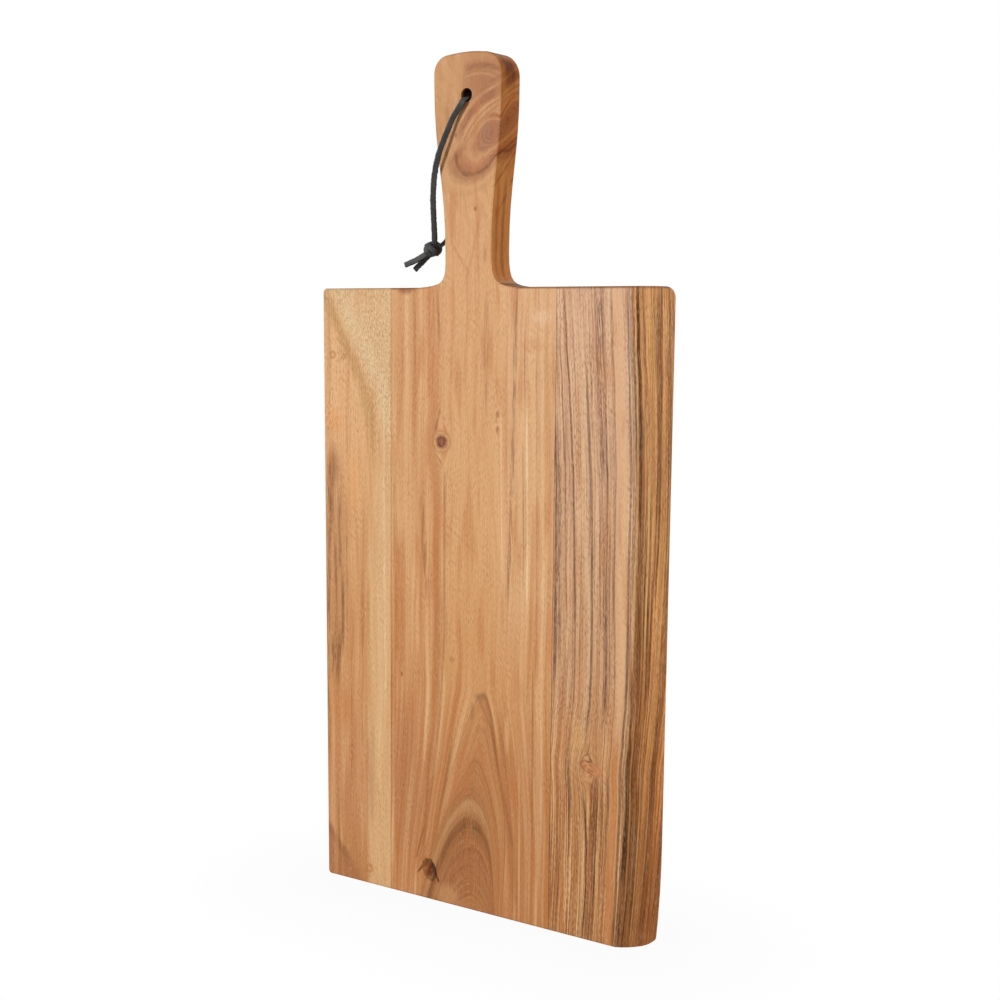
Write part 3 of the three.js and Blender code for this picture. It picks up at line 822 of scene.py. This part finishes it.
w_fine = rise(w_lines, 0.1, 0.95) * rise(w_ring, 7.5, 4.5)
swirl.paint("#7f4f38", w_fine * 0.42)
w_low = rise(w_lean, -1, -6)
w_patchy = rise(clouds(w_ring / 0.7, c_depth / 3, cx / 4), 0.35, 0.6)
w_fuzz = rise(w_ring, 9.6, 10.2) * rise(w_ring, 12.6, 10.6) * w_patchy
swirl.paint("#8f6244", w_fuzz * w_low * 0.4)
w_dark = rise(size_of(w_ring - 9.6), 0.8, 0.1) * w_low * (0.5 + w_patchy * 0.5)
swirl.paint("#74472f", w_dark * 0.75)
w_near = rise(w_ring, 16.5, 13) * (1 - rise(w_side, 6, 11) * 0.9)
h_share = rise(cz, 380, 430)
heart.paint("#cd9a69", h_share * 0.6)
h_mottle = clouds((cx + cz * 0.2) / 4, c_depth / 8, cz / 14, detail=2)
heart.paint("#aa7549", rise(h_mottle, 0.5, 0.72) * h_share * 0.45)
heart.paint("#deb285", rise(h_mottle, 0.5, 0.28) * h_share * 0.4)
heart.paint("#b98056", rise(cz, 452, 476) * rise(cx, -20, -4) * 0.6)
heart.paint(swirl.colour, w_near * rise(cz, 412, 424) * 0.95)
h_right = c_side - c_depth * BRANCH_RIGHT
h_up = c_up - c_depth * BRANCH_UP
h_arc = w_side + w_lean * w_lean * 0.0125
h_rough = rise(clouds(h_arc / 1.2, c_depth / 3, w_lean / 9), 0.35, 0.6)
heart.patches(h_right, h_up, (
    (6, 480, 13, 9, 0.6, "#ad7751"), (-2.7, 412.7, 1.3, 1.7, 0.8, "#8d4a2c"),
    (4, 387, 1.6, 6, 0.4, "#9a6a48"), (-16.4, 454, 1.2, 2, 0.6, "#80573e"),
))
# A darker cap at the top right, arched lines below it, and long arcs over the branch.
h_rim = h_right + (494.5 - h_up) * 0.267 + 10 + k_rough * 3
h_cap = rise(h_rim, -1.5, 3.5) * rise(h_right, 26, 2)
h_cap = h_cap * rise(h_up, 496, 492) * rise(h_up, 466, 490)
heart.paint("#a06a46", h_cap * 0.5)
heart.streaks(h_up, h_right, h_rough, (
    (491.2, 2.4, -8, 14, 0.6, 0.5, "#8d5a3a", -0.1, -0.012),
    (487.2, 1.1, -10, 12, 0.45, 0.4, "#d2a274", -0.08, -0.02), (483, 1.6, 4, 15, 0.45, 0.5, "#96623f", 0.3),
    (479.5, 1.3, 6, 15, 0.5, 0.4, "#d3a374", 0.4), (476.3, 1.4, 0, 14, 0.45, 0.5, "#9a6544", 0.25),
), fade=3)
heart.streaks(h_arc, w_lean, h_rough, (
    (18, 3.4, -16, 15, 0.8, 0.3, "#985f40"), (14.3, 0.9, -18, 16, 0.6, 0.3, "#d6a677"),
    (12.9, 0.8, -16, 14, 0.5, 0.3, "#a06c4b"), (11.6, 0.9, -14, 14, 0.5, 0.3, "#d3a272"),
    (10.2, 0.8, -10, 12, 0.45, 0.3, "#9c6848"), (21.6, 1, -4, 16, 0.4, 0.4, "#d0a070"),
    (23.8, 1.5, -6, 14, 0.4, 0.5, "#9a6545"),
), fade=4)
heart.streaks(c_side, c_up, c_broken, (
    (-13.6, 1.6, 377, 394, 0.3, 0.4, "#9a6942", -0.68),
    (-3.5, 1.4, 377, 406, 0.32, 0.4, "#9a6942", 0.26, -0.002),
    (-13, 1, 392, 446, 0.35, 0.6, "#a9774e", 0.03), (-20, 0.8, 380, 470, 0.3, 0.6, "#b07d54", -0.04),
), fade=4)
h_outer = rise(cx, 6, 9)
h_back = c_depth + c_frayed
heart.streaks(c_up - c_depth * 1.17, h_back, h_outer, (
    (424.6, 0.9, 1, 18, 0.7, 1, "#6a3a1c"), (405.3, 3, 3, 13, 0.35, 1, "#744220"),
    (430.5, 0.7, 3, 18, 0.45, 1, "#7a4722"),
), fade=2)
heart.streaks(c_up - c_depth * 0.65, h_back, h_outer, (
    (441.5, 0.8, 0, 19, 0.75, 1, "#5e3218"), (445.5, 0.6, 4, 19, 0.45, 1, "#744220"),
), fade=1)
heart.streaks(h_back, c_up, h_outer, (
    (4.2, 2, 372, 420, 0.35, 1, "#7a4722", 0.01), (7.2, 2.2, 380, 436, 0.4, 1, "#dca468", 0.02),
    (10.5, 2.4, 372, 430, 0.4, 1, "#744220", 0.015), (14.5, 2.2, 376, 440, 0.4, 1, "#d4995a", 0.02),
), fade=8)
h_dark = rise(cz, 474, 490) * rise(size_of(c_depth - 8.5), 8, 2)
heart.paint("#3f2110", h_dark * rise(cx, 10, 14) * 0.7)
# Painted shade: the front of the handle's head is darkened a little, as the light falls off towards the
# top.
heart.lay_painted_shade("#f4f0ee", rise(cz, 428, 450) * rise(c_depth, 2, 0.5))
c_shoulder = rise(size_of(cx + 9.4), 33, 37) * rise(cz, 366.8, 368.4)
heart.paint("#6b4023", c_shoulder * 0.7)
HOLE_X = -8.9
HOLE_Z = 476
hole_x = cx - HOLE_X
hole_z = cz - HOLE_Z
# Painted shade deep inside the hole: its walls are painted dark brown.
hole_painted_shade = rise(root(hole_x * hole_x + hole_z * hole_z), 4.4, 4) * rise(c_depth, 0.4, 3.5)
heart.paint("#3a2212", hole_painted_shade)

# The live knot: a dark eye in a pale ring, with a dark trail above it and one below.
k1 = knot_reach[0] + k_rough * 0.7
LIVE_KNOT_RINGS = (
    ("#ab744a", 2, 1.5, 0.6), ("#d5a373", 1.6, 1.25, 0.7), ("#b07a52", 1.3, 1, 0.9),
    ("#724533", 0.95, 0.7, 1), ("#8f5839", 0.6, 0.3, 0.8),
)
for shade, rim, inside, share in LIVE_KNOT_RINGS:
    heart.paint(shade, rise(k1, rim, inside) * share)
heart.streaks(c_side, c_up, c_broken, (
    (-30.6, 1.8, 285, 290, 0.65, 0, "#7f523b", 0.2), (-29.2, 1.2, 288, 298, 0.4, 0.3, "#925f3e", 0.2),
    (-28.4, 1.3, 266, 271, 0.55, 0.1, "#85573c", -0.67), (-24.8, 1.5, 240, 262, 0.3, 0.5, "#94694a"),
), fade=2.5)
# The dead knot: red-brown, leaning, with a black rim and a black crack to each side.
DEAD_KNOT_X = -36.3
DEAD_KNOT_Z = 18.8
k2_x = c_side - DEAD_KNOT_X
k2_z = c_up - DEAD_KNOT_Z
k2_side = k2_x * 0.94 + k2_z * 0.34
k2_up = k2_z * 0.94 - k2_x * 0.34
k2 = root(k2_side * k2_side / 18 + k2_up * k2_up / 34) + k_rough * 0.45
k2_rim = 0.65 + rise(k2_up + k2_side, -2, 2.5) * 0.35
heart.paint("#1d100b", rise(k2, 1.3, 1.1) * k2_rim)
heart.paint("#4f2016", rise(k2, 0.82, 0.58))
heart.paint("#8a4a30", rise(k2, 0.6, 0.4) * rise(k_rough, 0.03, 0.14) * 0.7)
heart.streaks(c_side, c_up, c_broken, (
    (-31, 1.4, 12.5, 19, 0.95, 0, "#26150e", -0.5), (-42.3, 1.3, 15.5, 22.5, 0.85, 0, "#3c2216", 0.78),
    (-43.5, 0.9, 24, 44, 0.5, 0.2, "#6a3f26", 0.3),
), fade=1.5)
heart.paint("#9c6a43", rise(knot_reach[3], 1.3, 0.5) * 0.4)
for eye_x, eye_z in ((13, 296.5), (13, 288)):
    eye_up = (c_up - eye_z) * 0.55 + eye_z
    _, away = use_group(heart_tree, knot_figure, c_side, eye_up, eye_x, eye_z, 1.4, 1)
    heart.paint("#95613f", rise(away, 1.2, 0.4) * 0.65)
HEART_SHADES = ("#8a5230", "#f0cba0", "#b9713f", "#6b3a1a", "#dec3a5")
c_coarse = 0.58 - h_share * 0.38
finish_wood(heart_tree, heart_shader, heart.colour, HEART_SHADES, c_lines, c_depth, cz, 1, c_coarse)
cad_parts["centre_stave"].material_slots[0].material = heartwood


# Right stave
# A board of dark and pale stripes from the outside of the tree. Its outer edge still has the round of
# the log, sanded smooth, and the last growth shows there as dark veins in golden wood.
striped, stripe_tree, stripe_shader = new_material("striped_stave")
rx, ry, rz = surface_millimetres(stripe_tree)
r_depth = ry - FRONT_FACE
r_drift = ramp(rz / BODY_TOP, (
    (0, 0.97), (0.11, 0.72), (0.163, 0.6), (0.217, 0.52), (0.272, 0.66), (0.326, 0.37), (0.38, 0.08),
    (0.42, 0), (0.62, 0), (0.71, 0.05), (0.77, 0.17), (0.85, 0.33), (0.92, 0.58), (1, 0.83),
)) * -6
r_below = at_least(300 - rz, 0)
r_slope = 0.9 + r_below * r_below * 0.000017
r_wander = clouds(rx / 14, r_depth / 40, rz / 60, detail=0) * 1.2 - 0.6
r_across = rx - r_drift + r_depth * r_slope + r_wander
bend, _ = use_group(stripe_tree, knot_figure, rx, rz, 75.4, 100.3, 3.4, 2)
r_across = r_across + bend * 1.3
r_streaky = clouds(r_across / 0.8, r_depth / 4, rz / 9)
r_broken = rise(r_streaky, 0.38, 0.6)
r_frayed = r_streaky - 0.5
r_drawn = r_across + r_frayed * 0.3
r_up = rz + r_frayed * 6
r_past = rise(r_across, 103.5, 107)

stripe = Coat(ramp(rz / BODY_TOP, (
    (0, "#b77f4f"), (0.2, "#c08a58"), (0.45, "#cf9f77"), (0.75, "#d8ab86"), (1, "#dcb08d"),
)))
r_gold = ramp(rz / BODY_TOP, ((0, "#bb7542"), (0.3, "#e09354"), (0.6, "#f0ab6b"), (1, "#f0ad70")))
stripe.paint(r_gold, r_past)
r_bands = clouds(r_across / 3.2, r_depth / 16, rz / 150)
r_fine = clouds(r_across / 1.1, r_depth / 8, rz / 110)
r_foot = rise(rz, 150, 60)
r_busy = 0.72 + r_foot * 0.7
r_plain = 1 - rise(size_of(r_across - 95.6), 4.2, 2.6) * 0.85
stripe.paint("#94643f", rise(r_bands, 0.5, 0.7) * r_busy * r_plain * 0.4)
r_pale = paint_over("#e2b78c", "#e7b482", r_foot)
stripe.paint(r_pale, rise(r_bands, 0.5, 0.3) * (1 - r_past) * 0.55)
stripe.paint("#7a4c33", rise(r_fine, 0.54, 0.7) * r_busy * r_plain * 0.5)
stripe.paint("#eac49a", rise(r_fine, 0.46, 0.28) * (1 - r_past) * 0.25)
r_veins = clouds(r_across, r_depth / 9, rz / 90)
r_sunny = rise(rz, 0, 160) * 0.4 + 0.15
stripe.paint("#5e2f17", rise(r_veins, 0.52, 0.62) * r_past * 0.5)
stripe.paint("#eab073", rise(r_veins, 0.47, 0.38) * r_past * r_sunny)
r_inner_edge = rise(r_across, 103, 105) * rise(r_across, 124, 114)
stripe.paint("#5c361f", r_inner_edge * rise(rz, 262, 190) * 0.22)
r_thin = clouds(r_across / 0.75, r_depth / 6, rz / 60)
stripe.paint("#683d2e", rise(r_thin, 0.54, 0.63) * r_plain * r_busy * 0.55)
r_bright = rise(r_thin, 0.46, 0.38) * r_foot * (1 - r_past)
stripe.paint("#ecbd88", r_bright * 0.5)
# Streaks from the joint outwards over the flat face.
FACE_STREAKS = (
    (53.2, 1.4, 150, 300, 0.83, 0.35, "#5d4238"), (55.4, 2.6, 160, 290, 0.68, 0.7, "#77503e"),
    (55.1, 0.95, 0, 90, 0.64, 0.5, "#7a4e34", -0.027),
    (59.4, 0.95, 180, 345, 0.59, 0.6, "#805545", -0.0175), (59.5, 1.5, 20, 175, 0.45, 0.5, "#a8683f"),
    (61.5, 0.95, 0, 90, 0.55, 0.6, "#8a5a3c"), (64.3, 0.95, 190, 368, 0.78, 0.35, "#5f4337", -0.024),
    (66.8, 0.95, 0, 200, 0.64, 0.4, "#6b4630", -0.007), (69.6, 0.77, 150, 200, 0.5, 0.6, "#855640"),
    (71.5, 2.9, 0, 95, 0.58, 0.3, "#b0703f"), (72.5, 3.3, 200, 350, 0.43, 0.2, "#ddb68e"),
    (76, 1.5, 215, 320, 0.69, 0.3, "#6e5648", -0.022), (76.9, 1.3, 122, 225, 0.78, 0.2, "#6a5244", 0.007),
    (73.6, 1.7, 120, 230, 0.45, 0.2, "#d8b186"),
    (78.9, 1.1, 0, 82, 0.89, 0.15, "#4a3024", -0.0265, -0.00097),
    (75.9, 2.6, 0, 76, 0.63, 0.1, "#d6a775", -0.0265, -0.0009),
    (75, 0.6, 0, 85, 0.55, 0.3, "#8a5a38", -0.026), (78, 0.95, 285, 362, 0.55, 0.8, "#845848"),
    (80.6, 0.77, 280, 366, 0.45, 0.8, "#8a5f4c"), (83.6, 2.8, 265, 366, 0.73, 0.85, "#7a4c3c"),
    (82, 0.77, 180, 275, 0.55, 0.7, "#7a4e3e", -0.02), (84.8, 1.3, 130, 245, 0.64, 0.7, "#77503e", -0.015),
    (86.2, 0.95, 265, 368, 0.73, 0.4, "#6a4a3e"), (86.4, 1.1, 128, 280, 0.83, 0.45, "#5f4036"),
    (88.4, 0.95, 128, 240, 0.59, 0.5, "#6a4636"), (82, 3.7, 0, 92, 0.85, 0.4, "#70432b"),
    (84.3, 0.77, 0, 90, 0.64, 0.3, "#55351f"), (87.4, 0.77, 0, 96, 0.59, 0.5, "#7a4c30"),
    (86, 0.77, 0, 80, 0.55, 0.2, "#d09a66"), (91.6, 0.95, 180, 368, 0.64, 0.45, "#75544a", 0.006),
    (92, 0.77, 108, 186, 0.59, 0.45, "#75544a"), (90.9, 0.95, 0, 98, 0.73, 0.3, "#6a4430"),
    (95.7, 3.7, 120, 368, 0.83, 0, "#dcac82"), (95, 3.5, 0, 112, 0.83, 0.2, "#bd7a4b"),
    (101.2, 1, 188, 368, 0.73, 0.2, "#6d5850", 0.0128), (99.3, 1.3, 0, 192, 0.78, 0.25, "#64493d", 0.009),
    (64, 2.2, 0, 130, 0.5, 0.3, "#b8703e"), (58.5, 2, 10, 110, 0.45, 0.4, "#bb723f"),
    (89.2, 1.6, 0, 90, 0.4, 0.3, "#b06a3e"), (103, 0.77, 160, 368, 0.56, 0.3, "#826557", 0.018),
    (101.4, 0.77, 0, 160, 0.64, 0.4, "#7a5642", 0.004),
)
# Streaks on the round outer edge, first the long ones and then those at the foot.
EDGE_STREAKS = (
    (105.4, 1.3, 200, 368, 0.7, 0.3, "#80522f", 0.035, 0.0001),
    (105, 1.4, 150, 330, 0.75, 0, "#d8ac7a", 0.024), (107, 2.9, 135, 300, 0.65, 0.4, "#5c321c", 0.016),
    (108.1, 1.9, 240, 374, 0.92, 0.1, "#30190e", 0.0135), (108.7, 2.1, 138, 235, 0.7, 0.4, "#4f2c18"),
    (112.8, 1.6, 120, 350, 0.65, 0.5, "#5c321c"), (115, 1.3, 175, 278, 0.85, 0.1, "#dcb474", 0.01),
    (116.3, 1.3, 138, 255, 0.8, 0.45, "#482814"), (118.5, 2.4, 250, 366, 0.55, 0.2, "#c08b4c"),
    (121.3, 1.6, 138, 368, 0.75, 0.3, "#5a2f17", 0.0245),
    (124.5, 1.6, 200, 372, 0.75, 0.2, "#5a2f17", 0.024), (126.4, 2.8, 110, 300, 0.85, 0.1, "#cb955a"),
    (130.4, 1.9, 120, 335, 0.65, 0.4, "#704222"), (132.6, 1.6, 60, 368, 0.7, 0.4, "#5f371c"),
    (135, 1.9, 0, 368, 0.55, 0.4, "#7a4826"), (103.9, 1.4, 118, 158, 0.95, 0.1, "#4a3022", -0.05),
    (107, 1.3, 84, 124, 0.75, 0.2, "#6b4226", -0.09), (104.6, 3, -8, 118, 0.9, 0.1, "#3d2920"),
    (107, 3.7, -12, 66, 0.75, 0.35, "#523522"), (103.6, 2.4, -20, 70, 0.85, 0.2, "#422c22"),
    (110.8, 3.7, -12, 40, 0.65, 0.45, "#5d3920"), (110.6, 2.4, 30, 104, 0.6, 0.5, "#6b4023", -0.03),
    (112.8, 1.6, 45, 112, 0.5, 0.5, "#76482b"), (114.5, 1.3, 0, 85, 0.55, 0.2, "#bb8653"),
    (117.3, 2.5, -10, 90, 0.7, 0.4, "#613b20"), (120.6, 1.6, 0, 110, 0.55, 0.2, "#b98454"),
    (133, 2.6, 0, 112, 0.6, 0.3, "#704220"), (138, 1.9, 0, 120, 0.5, 0.4, "#87512e"),
    (148, 2.4, 0, 84, 0.75, 0.3, "#6b4022"), (105.2, 1.1, 270, 374, 0.75, 0.2, "#553322", 0.0135),
    (108, 1, 14, 130, 0.7, 0.2, "#c68a57"), (109.8, 0.9, 0, 140, 0.75, 0.2, "#4a2d1e"),
    (115.2, 1.2, 0, 130, 0.7, 0.3, "#4e301f"), (118.9, 1.2, 0, 140, 0.75, 0.1, "#cf955c"),
    (120.8, 0.8, 0, 120, 0.6, 0.3, "#5a3722"), (126, 3.2, 0, 120, 0.5, 0.3, "#b57a48"),
    (131.2, 1.4, 0, 130, 0.7, 0.3, "#5a3621"),
)
stripe.streaks(r_drawn, r_up, r_broken, FACE_STREAKS + EDGE_STREAKS)
stripe.patches(r_drawn, r_up, (
    (71.5, 114, 5.5, 18, 0.4, "#d9a76c"), (81.5, 88, 4.5, 9, 0.4, "#96593b"),
))
# The small curled knot is a leaning lens with two rims.
LENS_X = 77.6
LENS_Z = 100.6
r_lens_x = (rx - LENS_X) / 7.2
r_lens_z = (r_up - LENS_Z - r_frayed * 3 + (rx - LENS_X) * 0.28) / 3.5
r_lens = root(r_lens_z * r_lens_z + r_lens_x * r_lens_x)
stripe.paint("#c6875a", rise(r_lens, 1.25, 0.9) * 0.85)
r_rim = rise(size_of(r_lens - 0.95), 0.2, 0.03) + rise(size_of(r_lens - 0.45), 0.2, 0.03) * 0.6
stripe.paint("#8f5236", r_rim * rise(rx, 86, 76) * 0.8)
stripe.paint("#6b4023", rise(rz, 366.6, 368.2) * 0.7)
STRIPE_SHADES = ("#6d4430", "#eecaa4", "#ba7a4b", "#6b3c1c", "#c98a4c")
r_coarse = 0.4 + r_plain * 0.5
finish_wood(stripe_tree, stripe_shader, stripe.colour, STRIPE_SHADES, r_across, r_depth, rz, 0, r_coarse)
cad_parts["right_stave"].material_slots[0].material = striped


# Glue lines
# Two thin films of brown wood glue, planed with the faces and a hair below them.
glue, glue_tree, glue_shader = new_material("dried_glue")
gx, gy, gz = surface_millimetres(glue_tree)
glue_patches = clouds(gx / 2, gy / 2, gz / 9, detail=2)
glue_colour = paint_over("#5d3a22", "#8b5f3d", rise(glue_patches, 0.4, 0.65))
join(glue_tree, glue_colour, glue_shader.inputs["Base Color"])
join(glue_tree, 0.35 + glue_patches * 0.3, glue_shader.inputs["Roughness"])
raise_surface(glue_tree, glue_shader, glue_patches, 0.0001, 0.3)
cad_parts["glue_line_left"].material_slots[0].material = glue
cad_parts["glue_line_right"].material_slots[0].material = glue
